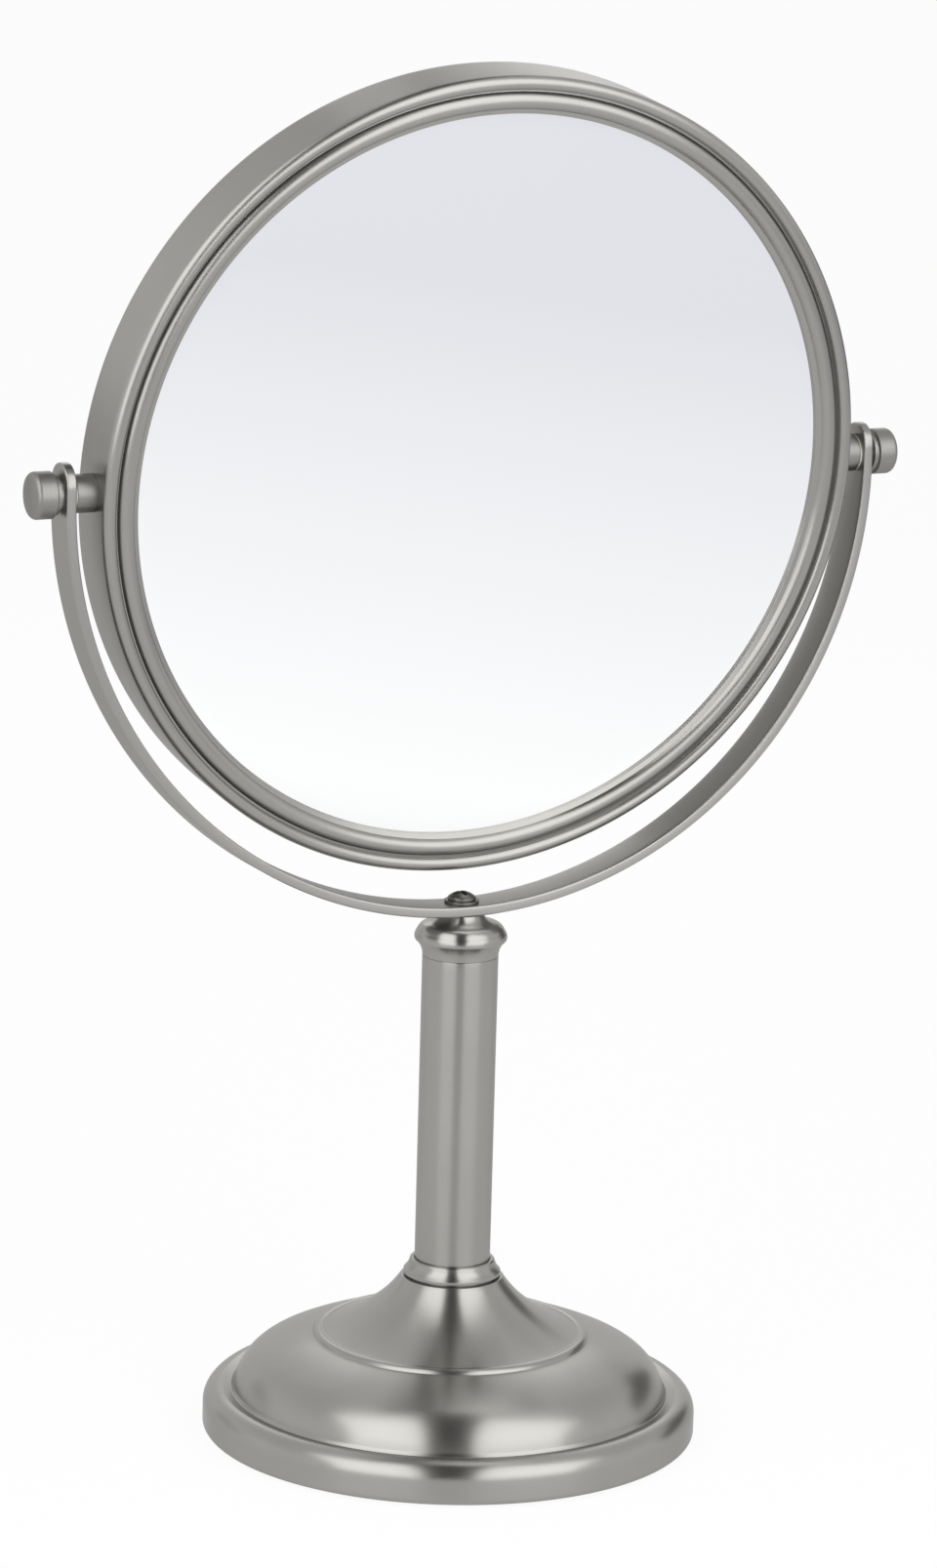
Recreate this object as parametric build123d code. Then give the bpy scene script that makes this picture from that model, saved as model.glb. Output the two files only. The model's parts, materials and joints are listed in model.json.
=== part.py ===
from build123d import *
import math
import os

# A free-standing table mirror: a weighted round base, a slim column, a U-shaped
# yoke and a two-sided mirror head that turns in the yoke on two clamped pivots.
# Millimetres, +Z up. The origin is the middle of the base's underside. The front
# of the mirror looks towards -Y, and the pivot axis runs along X.

# Base shell, pressed from sheet and spun to shape
base_radius = 69.2
base_sheet = 1.2
hem_lift = 0.6
hem_radius = 1.6
hem_width = 2.8
rim_height = 12.4
shoulder_radius = 5.2
valley_inset = 7.9
valley_depth = 0.7
valley_width = 0.7
dome_start_rise = 0.9
dome_knee_inset = 8.0
dome_knee_drop = 5.0
dome_crown = 1.5
dome_height = 27.9
bead_radius = 37.3
bead_half_width = 1.3
bead_height = 0.7
flare_step = 1.2
flare_knee_inset = 10.0
flare_knee_rise = 4.9
flare_hollow = 0.25
base_height = 45.2

# Weight, closing plate and pad inside and under the shell
plate_thickness = 1.0
plate_slack = 0.2
pad_slack = 0.4
weight_slack = 1.4
weight_headroom = 1.0
weight_cone_radius = 30.0
weight_cone_height = 13.2
weight_boss_radius = 10.0
nut_recess_radius = 8.5
nut_recess_depth = 11.0

# Column: foot collar, tube, cap and the tie rod that clamps them to the base
tube_radius = 10.6
tube_wall = 1.0
tube_length = 91.0
tube_slack = 0.1
collar_wall = 1.2
collar_flare = 1.7
collar_height = 5.0
collar_ledge = 1.4
collar_edge = 0.9
land_margin = 0.7
shadow_gap = 0.6
shadow_inset = 0.8
cap_height = 12.0
cap_bead_overhang = 2.2
cap_bead_level = 5.4
cap_bead_round = 1.7
cap_shoulder_level = 9.2
cap_neck_radius = 6.0
cap_neck_flare = 3.4
spigot_length = 14.0
rod_radius = 3.0
rod_hole_slack = 0.4
rod_engagement = 10.0
rod_tail = 1.5
tie_nut_flats = 10.0
tie_nut_height = 5.0
tie_washer_radius = 6.0
tie_washer_thickness = 1.6
tie_lock_radius = 5.4
tie_lock_thickness = 1.5

# Yoke, a flat strip bent to a U, and its screw
yoke_width = 12.0
yoke_thickness = 2.8
yoke_drop = 2.3
yoke_reach = 8.5
yoke_edge = 0.5
screw_radius = 2.5
screw_head_radius = 3.9
screw_head_height = 2.4
screw_engagement = 9.0
screw_slot_width = 1.0
screw_slot_depth = 1.1
screw_washer_radius = 4.8
screw_washer_thickness = 0.8

# Mirror head
head_radius = 112.0
head_depth = 20.4
head_lean = 6.6
hoop_sheet = 1.2
curl_radius = 2.0
curl_sweep = 150.0
glass_inset = 7.4
glass_thickness = 3.0
magnifier_thickness = 2.2
magnifier_gap = 1.3
glass_setback = 3.3
glass_bite = 3.1
lip_width = 1.8
bezel_sheet = 0.9
bezel_crest_inset = 6.6
bezel_crest_setback = 0.3
groove_inset = 4.4
groove_width = 0.9
groove_depth = 2.6
flange_setback = 1.75
card_thickness = 0.6
spacer_ring_inset = 3.6
spacer_ring_width = 8.0
foam_thickness = 1.2

# Pivots, one on each side
side_gap = 6.3
pivot_spacer_radius = 5.2
friction_washer_thickness = 0.5
friction_washer_radius = 5.0
face_clearance = 0.1
stud_radius = 2.0
stud_running_fit = 0.06
stud_slack = 0.05
stud_nut_flats = 7.0
stud_nut_height = 3.2
stud_washer_radius = 4.4
stud_washer_thickness = 0.8
stud_tail = 1.0
spring_washer_radius = 4.2
spring_washer_thickness = 0.9
spring_washer_slack = 0.1
knob_radius = 6.4
knob_length = 7.9
knob_end_wall = 1.8
knob_chamfer = 1.4
knob_crown = 0.7
knob_foot_inset = 0.9
knob_foot_length = 1.1
stud_end_gap = 1.3

# Levels and radii that follow from the sizes above
plate_level = hem_lift + base_sheet
weight_level = plate_level + plate_thickness
tube_foot = base_height + collar_ledge
tube_top = tube_foot + tube_length
yoke_seat = tube_top + cap_height
yoke_inner = head_radius + side_gap
yoke_outer = yoke_inner + yoke_thickness
yoke_centre = yoke_seat + yoke_outer
pivot_height = yoke_centre + yoke_drop
head_half = head_depth / 2
collar_top_radius = tube_radius + tube_slack + collar_wall
collar_foot_radius = collar_top_radius + collar_flare
land_radius = collar_foot_radius + land_margin
glass_radius = head_radius - glass_inset

solids = {}


def at_angle(centre, radius, degrees):
    """The point of a circle in the section's plane at an angle."""
    turn = math.radians(degrees)
    return (centre[0] + radius * math.cos(turn), centre[1] + radius * math.sin(turn))


def spin(*lines):
    """Turn a closed outline, drawn as radius and height, about the Z axis."""
    return revolve(Plane.XZ * make_face(list(lines)), Axis.Z)


def spin_points(*points):
    """Turn a straight-sided outline about the Z axis."""
    return spin(Polyline(*points, close=True))


def spin_sheet(outline, thickness, side):
    """Turn a line about the Z axis, with a wall of sheet on one side of it."""
    section = offset(Wire(outline), thickness, side=side)
    return revolve(Plane.XZ * make_face(section.edges()), Axis.Z)


def disc(radius, thickness, level=0.0):
    """A round plate or bar that stands on a level."""
    return Pos(0, 0, level + thickness / 2) * Cylinder(radius, thickness)


def washer(radius, bore, thickness, level=0.0):
    """A flat ring that lies on a level."""
    return disc(radius, thickness, level) - disc(bore, thickness, level)


def hex_nut(flats, bore, height, level=0.0):
    """A hexagon nut with chamfered corners, its bore at the thread's size."""
    corner = flats / math.sqrt(3)
    blank = extrude(RegularPolygon(corner, 6), height)
    rounding = spin_points(
        (0, 0), (flats / 2, 0), (corner, corner / 6), (corner, height - corner / 6),
        (flats / 2, height), (0, height),
    )
    hole = Pos(0, 0, height / 2) * Cylinder(bore, 2 * height)
    return Pos(0, 0, level) * ((blank & rounding) - hole)


def crown(rim_radius, rim_level, rise):
    """A round top, from its rim to its middle on the axis."""
    ball = (rim_radius**2 + rise**2) / (2 * rise)
    half = math.asin(rim_radius / ball) / 2
    middle = (ball * math.sin(half), rim_level + rise - ball + ball * math.cos(half))
    return ThreePointArc((rim_radius, rim_level), middle, (0, rim_level + rise))


# Base shell

hem_corner = base_radius - hem_radius
wall_top = rim_height - shoulder_radius
crest_radius = base_radius - shoulder_radius
valley_radius = base_radius - valley_inset
valley_level = rim_height - valley_depth
dome_foot = (valley_radius - valley_width, valley_level + dome_start_rise)
dome_knee = (dome_foot[0] - dome_knee_inset, dome_height - dome_knee_drop)
dome_top = (bead_radius + bead_half_width, dome_height)
bead_crest = (bead_radius, dome_height + flare_step / 2 + bead_height)
flare_foot = (bead_radius - bead_half_width, dome_height + flare_step)
flare_knee = (flare_foot[0] - flare_knee_inset, flare_foot[1] + flare_knee_rise)
flare_top = (land_radius, base_height)


def bowed(start, end, rise):
    """An arc from start to end that stands out to the right of its chord."""
    run = (end[0] - start[0], end[1] - start[1])
    length = math.hypot(*run)
    middle = ((start[0] + end[0]) / 2, (start[1] + end[1]) / 2)
    top = (middle[0] + run[1] / length * rise, middle[1] - run[0] / length * rise)
    return ThreePointArc(start, top, end)


dome_side = bowed(dome_foot, dome_knee, dome_crown)
flare_side = bowed(flare_foot, flare_knee, -flare_hollow)
shell_outline = [
    Line((base_radius - hem_width, hem_lift), (hem_corner, hem_lift)),
    CenterArc((hem_corner, hem_lift + hem_radius), hem_radius, -90, 90),
    Line((base_radius, hem_lift + hem_radius), (base_radius, wall_top)),
    CenterArc((crest_radius, wall_top), shoulder_radius, 0, 90),
    Line((crest_radius, rim_height), (valley_radius, valley_level)),
    Line((valley_radius, valley_level), dome_foot),
    dome_side,
    TangentArc(dome_knee, dome_top, tangent=dome_side % 1),
    ThreePointArc(dome_top, bead_crest, flare_foot),
    flare_side,
    TangentArc(flare_knee, flare_top, tangent=flare_side % 1),
    Line(flare_top, (rod_radius + rod_hole_slack, base_height)),
]
solids["base_shell"] = spin_sheet(shell_outline, base_sheet, Side.LEFT)

# Weight, plate and pad

rod_hole = rod_radius + rod_hole_slack
weight_radius = dome_foot[0] - base_sheet - weight_slack
weight_top = base_height - base_sheet
recess_top = weight_level + nut_recess_depth
solids["base_weight"] = spin_points(
    (nut_recess_radius, weight_level),
    (weight_radius, weight_level),
    (weight_radius, valley_level - base_sheet - weight_headroom),
    (weight_cone_radius, weight_level + weight_cone_height),
    (weight_boss_radius, weight_level + weight_cone_height),
    (weight_boss_radius, weight_top),
    (rod_hole, weight_top),
    (rod_hole, recess_top),
    (nut_recess_radius, recess_top),
)
solids["base_plate"] = disc(hem_corner - plate_slack, plate_thickness, plate_level)
solids["base_pad"] = disc(base_radius - hem_width - pad_slack, plate_level)

# Foot collar

collar_bore = tube_radius + tube_slack
collar_top = base_height + collar_height
collar_shadow = base_height + shadow_gap
shadow_radius = collar_foot_radius - shadow_inset
solids["foot_collar"] = spin(
    Polyline(
        (rod_hole, tube_foot),
        (rod_hole, base_height),
        (shadow_radius, base_height),
        (shadow_radius, collar_shadow),
        (collar_foot_radius, collar_shadow),
        (collar_foot_radius, collar_shadow + collar_edge),
    ),
    bowed(
        (collar_foot_radius, collar_shadow + collar_edge),
        (collar_top_radius, collar_top - collar_edge / 2),
        -collar_edge / 3,
    ),
    Polyline(
        (collar_top_radius, collar_top - collar_edge / 2),
        (collar_top_radius - collar_edge / 2, collar_top),
        (collar_bore, collar_top),
        (collar_bore, tube_foot),
        (rod_hole, tube_foot),
    ),
)

# Column tube

solids["column_tube"] = washer(tube_radius, tube_radius - tube_wall, tube_length, tube_foot)

# Column cap

cap_bead_radius = tube_radius + cap_bead_overhang
cap_shoulder_radius = cap_neck_radius + cap_neck_flare
bead_level = tube_top + cap_bead_level
bead_top = bead_level + cap_bead_round
shoulder_level = tube_top + cap_shoulder_level
spigot_radius = tube_radius - tube_wall - tube_slack
seat_spare = yoke_outer - math.sqrt(yoke_outer**2 - cap_neck_radius**2)
neck_top = yoke_seat + seat_spare
cap_foot = (tube_radius, tube_top)
cap_bead_foot = (cap_bead_radius, bead_level - cap_bead_round / 2)
cap_bead_head = (cap_bead_radius - cap_bead_round / 3, bead_top)
cap_shoulder = (cap_shoulder_radius, shoulder_level)
cap = spin(
    bowed(cap_foot, cap_bead_foot, -cap_bead_round / 3),
    bowed(cap_bead_foot, cap_bead_head, cap_bead_round / 5),
    bowed(cap_bead_head, cap_shoulder, cap_bead_round / 3),
    bowed(cap_shoulder, (cap_neck_radius, yoke_seat), -cap_bead_round / 3),
    Polyline(
        (cap_neck_radius, yoke_seat),
        (cap_neck_radius, neck_top),
        (0, neck_top),
        (0, tube_top - spigot_length),
        (spigot_radius, tube_top - spigot_length),
        (spigot_radius, tube_top),
        cap_foot,
    ),
)
yoke_drum = Pos(0, 0, yoke_centre) * Rot(90, 0, 0) * Cylinder(yoke_outer, 4 * yoke_width)
rod_top = tube_top - spigot_length + rod_engagement
rod_bore = Pos(0, 0, rod_top - rod_engagement) * Cylinder(rod_radius + stud_slack, 2 * rod_engagement)
screw_bore_depth = screw_engagement + rod_tail
screw_bore = Pos(0, 0, yoke_seat) * Cylinder(screw_radius + stud_slack, 2 * screw_bore_depth)
solids["column_cap"] = cap - yoke_drum - rod_bore - screw_bore

# Tie rod and its washers and nut

tie_lock_level = recess_top - tie_washer_thickness - tie_lock_thickness
tie_nut_level = tie_lock_level - tie_nut_height
rod_bottom = tie_nut_level - rod_tail
solids["tie_rod"] = disc(rod_radius, rod_top - rod_bottom, rod_bottom)
solids["tie_washer"] = washer(
    tie_washer_radius, rod_hole, tie_washer_thickness, recess_top - tie_washer_thickness
)
lock_ring = washer(tie_lock_radius, rod_radius + stud_slack, tie_lock_thickness, tie_lock_level)
lock_split = Pos(tie_lock_radius, 0, tie_lock_level) * Rot(30, 0, 0) * Box(
    2 * tie_lock_radius - 2 * rod_radius, tie_lock_thickness / 2, 4 * tie_lock_thickness
)
solids["tie_lock_washer"] = lock_ring - lock_split
solids["tie_nut"] = hex_nut(tie_nut_flats, rod_radius + stud_slack, tie_nut_height, tie_nut_level)

# Yoke

yoke_top = pivot_height + yoke_reach
pin_hole = stud_radius + stud_running_fit


def u_shape(radius):
    """The inside of a U: a half disc with a straight-sided band up to the ends."""
    disc = Circle(radius)
    band = Pos(0, (yoke_top - yoke_centre) / 2) * Rectangle(2 * radius, yoke_top - yoke_centre)
    above = Pos(0, yoke_top - yoke_centre + radius) * Rectangle(4 * radius, 2 * radius)
    return disc + band - above


u_strip = u_shape(yoke_outer) - u_shape(yoke_inner)
yoke = Pos(0, 0, yoke_centre) * extrude(Plane.XZ * u_strip, yoke_width / 2, both=True)
arm_round = yoke_width / 2
arm_side = Pos(0, yoke_top - arm_round) * Circle(arm_round)
arm_side += Pos(0, yoke_top - arm_round - yoke_outer) * Rectangle(yoke_width, 2 * yoke_outer)
yoke = yoke & extrude(Plane.YZ * arm_side, 2 * yoke_outer, both=True)
rims = [edge for edge in yoke.edges() if edge.length > yoke_width]
yoke = fillet(rims, yoke_edge)
pivot_holes = Pos(0, 0, pivot_height) * Rot(0, 90, 0) * Cylinder(pin_hole, 4 * yoke_outer)
screw_hole = Pos(0, 0, yoke_seat) * Cylinder(screw_radius + rod_hole_slack / 2, 4 * yoke_thickness)
solids["yoke"] = yoke - pivot_holes - screw_hole

# Yoke screw and its washer

washer_lift = yoke_inner - math.sqrt(yoke_inner**2 - screw_washer_radius**2)
screw_washer_level = yoke_seat + yoke_thickness + washer_lift
solids["yoke_screw_washer"] = washer(
    screw_washer_radius, screw_radius + rod_hole_slack / 2, screw_washer_thickness, screw_washer_level
)
screw_head_level = screw_washer_level + screw_washer_thickness
screw_tip = yoke_seat - screw_engagement
screw_head_top = screw_head_level + screw_head_height
screw = spin(
    Polyline(
        (0, screw_head_top),
        (0, screw_tip),
        (screw_radius, screw_tip),
        (screw_radius, screw_head_level),
        (screw_head_radius, screw_head_level),
        (screw_head_radius, screw_head_level + screw_head_height / 3),
    ),
    crown(screw_head_radius, screw_head_level + screw_head_height / 3, screw_head_height * 2 / 3),
)
cross = Box(2 * screw_radius, screw_slot_width, 2 * screw_slot_depth)
cross += Box(screw_slot_width, 2 * screw_radius, 2 * screw_slot_depth)
solids["yoke_screw"] = screw - Pos(0, 0, screw_head_top) * cross

# Mirror head, drawn flat with its front upwards, and then set up in the yoke

hung = Pos(0, 0, pivot_height) * Rot(90 + head_lean, 0, 0)
curl_centre = (head_radius - curl_radius, head_half - curl_radius)
curl_end = at_angle(curl_centre, curl_radius, curl_sweep)
hoop_outline = [
    CenterArc((curl_centre[0], -curl_centre[1]), curl_radius, -curl_sweep, curl_sweep),
    Line((head_radius, -curl_centre[1]), (head_radius, curl_centre[1])),
    CenterArc(curl_centre, curl_radius, 0, curl_sweep),
]
stud_hole = Rot(0, 90, 0) * Cylinder(stud_radius + stud_slack, 4 * head_radius)
hoop = spin_sheet(hoop_outline, hoop_sheet, Side.LEFT) - stud_hole
solids["head_hoop"] = hung * hoop

# Bezels: lip over the glass, bead, groove and a flange under the hoop's curl

sight_radius = glass_radius - glass_bite
glass_face = head_half - glass_setback
lip_face = glass_face + bezel_sheet
bezel_crest_radius = head_radius - bezel_crest_inset
crest_level = head_half - bezel_crest_setback
groove_radius = head_radius - groove_inset
groove_level = head_half - groove_depth
flange_level = head_half - flange_setback
hoop_inner = head_radius - hoop_sheet
flange_radius = hoop_inner - stud_slack
lip_end = sight_radius + lip_width
groove_out = groove_radius + groove_width
step = flange_level - groove_level
bezel = spin(
    Line((sight_radius, glass_face), (sight_radius, lip_face)),
    Line((sight_radius, lip_face), (lip_end - bezel_sheet / 2, lip_face + bezel_sheet / 2)),
    ThreePointArc(
        (lip_end - bezel_sheet / 2, lip_face + bezel_sheet / 2),
        (bezel_crest_radius, crest_level),
        (groove_radius, groove_level),
    ),
    Polyline(
        (groove_radius, groove_level),
        (groove_out, groove_level),
        (groove_out + step / 2, flange_level),
        (flange_radius, flange_level),
        (flange_radius, flange_level - bezel_sheet),
        (groove_out + bezel_sheet, flange_level - bezel_sheet),
        (groove_out + step / 2, groove_level - bezel_sheet),
        (groove_radius - bezel_sheet, groove_level - bezel_sheet),
    ),
    ThreePointArc(
        (groove_radius - bezel_sheet, groove_level - bezel_sheet),
        (bezel_crest_radius, crest_level - bezel_sheet),
        (lip_end, glass_face),
    ),
    Line((lip_end, glass_face), (sight_radius, glass_face)),
)
solids["front_bezel"] = hung * bezel
solids["rear_bezel"] = hung * Rot(180, 0, 0) * bezel

# Glasses, card, spacer ring and foam

glass_back = glass_face - glass_thickness
card_level = glass_back - card_thickness
solids["flat_mirror"] = hung * disc(glass_radius, glass_thickness, glass_back)
solids["backing_card"] = hung * disc(glass_radius, card_thickness, card_level)
dish_depth = card_level - magnifier_gap - magnifier_thickness + glass_face
magnifier_curve = (lip_end**2 + dish_depth**2) / (2 * dish_depth)


def dish(radius, depth):
    """How far the magnifying glass has come forward at a radius, from its lip."""
    lip_rise = magnifier_curve - math.sqrt(magnifier_curve**2 - lip_end**2)
    rise = magnifier_curve - math.sqrt(magnifier_curve**2 - radius**2)
    return -glass_face + lip_rise - rise + depth


def dish_arc(inner, outer, depth):
    """The magnifying glass's curve, moved forward by a depth."""
    middle = (inner + outer) / 2
    return ThreePointArc(
        (inner, dish(inner, depth)), (middle, dish(middle, depth)), (outer, dish(outer, depth))
    )


def dished(inner, outer, low, high):
    """A disc or ring between two copies of the magnifying glass's curve."""
    return spin(
        dish_arc(inner, outer, low),
        Line((outer, dish(outer, low)), (outer, dish(outer, high))),
        dish_arc(inner, outer, high),
        Line((inner, dish(inner, high)), (inner, dish(inner, low))),
    )


solids["magnifying_mirror"] = hung * dished(0, glass_radius, 0, magnifier_thickness)
spacer_ring_radius = glass_radius - spacer_ring_inset
ring_inner = spacer_ring_radius - spacer_ring_width
foam_top = magnifier_thickness + foam_thickness
solids["foam_ring"] = hung * dished(ring_inner, spacer_ring_radius, magnifier_thickness, foam_top)
spacer_ring = spin(
    dish_arc(ring_inner, spacer_ring_radius, foam_top),
    Polyline(
        (spacer_ring_radius, dish(spacer_ring_radius, foam_top)),
        (spacer_ring_radius, card_level),
        (ring_inner, card_level),
        (ring_inner, dish(ring_inner, foam_top)),
    ),
)
solids["glass_spacer_ring"] = hung * spacer_ring

# Pivots, drawn along Z from the head's middle, and then laid along X

stud_washer_lift = hoop_inner - math.sqrt(hoop_inner**2 - stud_washer_radius**2)
stud_washer_level = hoop_inner - stud_washer_lift - stud_washer_thickness
stud_nut_level = stud_washer_level - stud_nut_height
friction_level = yoke_inner - face_clearance - friction_washer_thickness
spring_level = yoke_outer + face_clearance
knob_level = spring_level + spring_washer_thickness + face_clearance / 2
stud_bottom = stud_nut_level - stud_tail
hoop_drum = Rot(0, 90, 0) * Cylinder(head_radius, 2 * head_depth)
spacer_foot = head_radius - side_gap / 2
spacer = washer(
    pivot_spacer_radius, stud_radius + stud_slack, friction_level - spacer_foot, spacer_foot
)
knob_end = knob_level + knob_length
knob_face = knob_radius - knob_chamfer
knob_foot_radius = knob_radius - knob_foot_inset
knob_bore = stud_radius + stud_running_fit
knob_bore_end = knob_end - knob_end_wall
knob = spin(
    Polyline(
        (knob_bore, knob_bore_end),
        (knob_bore, knob_level),
        (knob_foot_radius, knob_level),
        (knob_foot_radius, knob_level + knob_foot_length),
        (knob_radius, knob_level + knob_foot_length + knob_chamfer / 4),
        (knob_radius, knob_end - knob_crown - knob_chamfer),
    ),
    bowed(
        (knob_radius, knob_end - knob_crown - knob_chamfer),
        (knob_face, knob_end - knob_crown),
        knob_chamfer / 4,
    ),
    crown(knob_face, knob_end - knob_crown, knob_crown),
    Polyline((0, knob_end), (0, knob_bore_end), (knob_bore, knob_bore_end)),
)
stud_top = knob_bore_end - stud_end_gap
stud = disc(stud_radius, stud_top - stud_bottom, stud_bottom)
pivot_pieces = {
    "pivot_stud": stud,
    "stud_nut": hex_nut(stud_nut_flats, stud_radius + stud_slack, stud_nut_height, stud_nut_level),
    "stud_washer": washer(
        stud_washer_radius, stud_radius + stud_slack, stud_washer_thickness, stud_washer_level
    ),
    "pivot_spacer": spacer - hoop_drum,
    "friction_washer": washer(
        friction_washer_radius, stud_radius + stud_slack, friction_washer_thickness, friction_level
    ),
    "spring_washer": washer(
        spring_washer_radius, stud_radius + spring_washer_slack, spring_washer_thickness, spring_level
    ),
    "pivot_knob": knob,
}
for piece, solid in pivot_pieces.items():
    solids["left_" + piece] = hung * Rot(0, -90, 0) * solid
    solids["right_" + piece] = hung * Rot(0, 90, 0) * solid

os.makedirs("parts", exist_ok=True)
for node, solid in solids.items():
    export_step(solid, "parts/" + node + ".step")
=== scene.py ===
import json
import math

import bpy
import numpy as np
from mathutils import Matrix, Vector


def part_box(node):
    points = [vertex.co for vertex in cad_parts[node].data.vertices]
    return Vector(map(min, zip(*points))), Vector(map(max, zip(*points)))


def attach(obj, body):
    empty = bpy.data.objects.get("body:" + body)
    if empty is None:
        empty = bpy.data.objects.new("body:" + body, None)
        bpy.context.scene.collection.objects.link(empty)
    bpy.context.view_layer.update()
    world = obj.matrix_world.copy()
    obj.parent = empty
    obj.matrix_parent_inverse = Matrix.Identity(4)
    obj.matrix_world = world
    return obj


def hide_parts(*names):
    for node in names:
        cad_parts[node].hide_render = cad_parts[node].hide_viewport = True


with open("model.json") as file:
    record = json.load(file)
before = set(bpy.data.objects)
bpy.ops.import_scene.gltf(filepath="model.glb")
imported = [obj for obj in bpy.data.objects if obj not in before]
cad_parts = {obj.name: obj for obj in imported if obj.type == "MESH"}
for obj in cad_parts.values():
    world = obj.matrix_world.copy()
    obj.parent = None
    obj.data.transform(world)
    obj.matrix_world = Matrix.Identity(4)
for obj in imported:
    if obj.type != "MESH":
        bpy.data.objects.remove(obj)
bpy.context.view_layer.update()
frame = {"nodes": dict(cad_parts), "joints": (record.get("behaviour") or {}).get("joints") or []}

# Base shell: one disc of steel sheet, pressed and spun to a stepped dome with a hemmed edge, and
# plated in satin nickel. It stands on its pad and hides the weight that keeps the mirror upright.

mm = 0.001
base_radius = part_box("base_shell")[1].x
base_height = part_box("base_shell")[1].z
shell_sheet = 1.2 * mm
hem_level = 0.6 * mm
hem_radius = 1.6 * mm
hem_width = 2.8 * mm
rim_height = 12.4 * mm
shoulder_radius = 5.2 * mm
valley = (61.3 * mm, 11.7 * mm)
dome_foot = (60.6 * mm, 12.6 * mm)
dome_knee = (52.6 * mm, 22.9 * mm)
dome_crown = 1.5 * mm
dome_shelf = 0.4 * mm
dome_top = (38.6 * mm, 27.9 * mm)
bead_crest = (37.3 * mm, 29.2 * mm)
flare_foot = (36.0 * mm, 29.1 * mm)
flare_knee = (26.0 * mm, 34.0 * mm)
flare_hollows = (0.25 * mm, 0.92 * mm)
land_radius = 14.3 * mm
rod_hole = 3.4 * mm
plated_edge = 0.22 * mm
turn_step = math.radians(8)
shell_row_step = 2 * mm
shell_columns = 320


def arc(centre, radius, start, end, count=24):
    """Points of a circle's arc from one angle in degrees to another: the centre plus the radius times
    the angle's cosine and sine."""
    angle = np.radians(np.linspace(start, end, count))
    return np.array(centre) + radius * np.stack([np.cos(angle), np.sin(angle)], axis=1)


def bow(start, end, rise, count=24):
    """A flat arc: the chord from start to end, moved to its right by a parabola that is rise high."""
    start = np.array(start)
    chord = np.array(end) - start
    share = np.linspace(0, 1, count)[:, None]
    right = np.array([chord[1], -chord[0]]) / np.hypot(*chord)
    return start + share * chord + 4 * share * (1 - share) * rise * right


def through(start, middle, end, count=24):
    """The circle's arc through three points: its centre is where the two chords' bisectors cross."""
    start, middle, end = (np.array(p, float) for p in (start, middle, end))
    chords = np.array([middle - start, end - middle])
    centre = np.linalg.solve(chords, (chords * [(start + middle) / 2, (middle + end) / 2]).sum(1))
    angles = [math.atan2(*(p - centre)[::-1]) for p in (start, middle, end)]
    first, _, last = np.unwrap(angles)
    return arc(centre, np.hypot(*(start - centre)), math.degrees(first), math.degrees(last), count)


def evened(points, step):
    """The same line with its points a step apart."""
    along = np.append(0, np.cumsum(np.hypot(*np.diff(points, axis=0).T)))
    places = np.linspace(0, along[-1], max(int(along[-1] / step), 2) + 1)
    return np.stack([np.interp(places, along, points[:, k]) for k in (0, 1)], axis=1)


def eased(points, width, loop):
    """A line with soft corners: each point becomes the mean of the points round it, which counts the
    near ones most, along a bell curve as wide as the width."""
    if loop:
        points = np.vstack([points, points[:1]])
    points = evened(points, width / 4)
    reach = 8
    spread = 2.5
    bell = np.exp(-0.5 * (np.arange(-reach, reach + 1) / spread) ** 2)
    if loop:
        points = points[:-1]
        padded = np.vstack([points[-reach:], points, points[:reach]])
    else:
        before = 2 * points[0] - points[reach:0:-1]
        after = 2 * points[-1] - points[-2:-reach - 2:-1]
        padded = np.vstack([before, points, after])
    return np.stack([np.convolve(padded[:, k], bell / bell.sum(), "valid") for k in (0, 1)], axis=1)


def thinned(points, step, loop):
    """As few points as the line needs: each stretch is at most a step long and turns at most a turn step."""
    if loop:
        points = np.vstack([points, points[:1]])
    run = np.diff(points, axis=0)
    heading = np.unwrap(np.arctan2(run[:, 1], run[:, 0]))
    bend = np.abs(np.diff(heading, prepend=heading[0]))
    measure = np.append(0, np.cumsum(np.hypot(*run.T) / step + bend / turn_step))
    places = np.linspace(0, measure[-1], int(measure[-1]) + 2)
    line = np.stack([np.interp(places, measure, points[:, k]) for k in (0, 1)], axis=1)
    return line[:-1] if loop else line


def walled(line, thickness):
    """A line with a wall on its left, as one closed outline: the line, and back along its parallel."""
    line = evened(line, thickness / 8)
    run = np.gradient(line, axis=0)
    left = np.stack([-run[:, 1], run[:, 0]], axis=1) / np.hypot(*run.T)[:, None]
    return np.vstack([line, (line + left * thickness)[::-1]])


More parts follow.
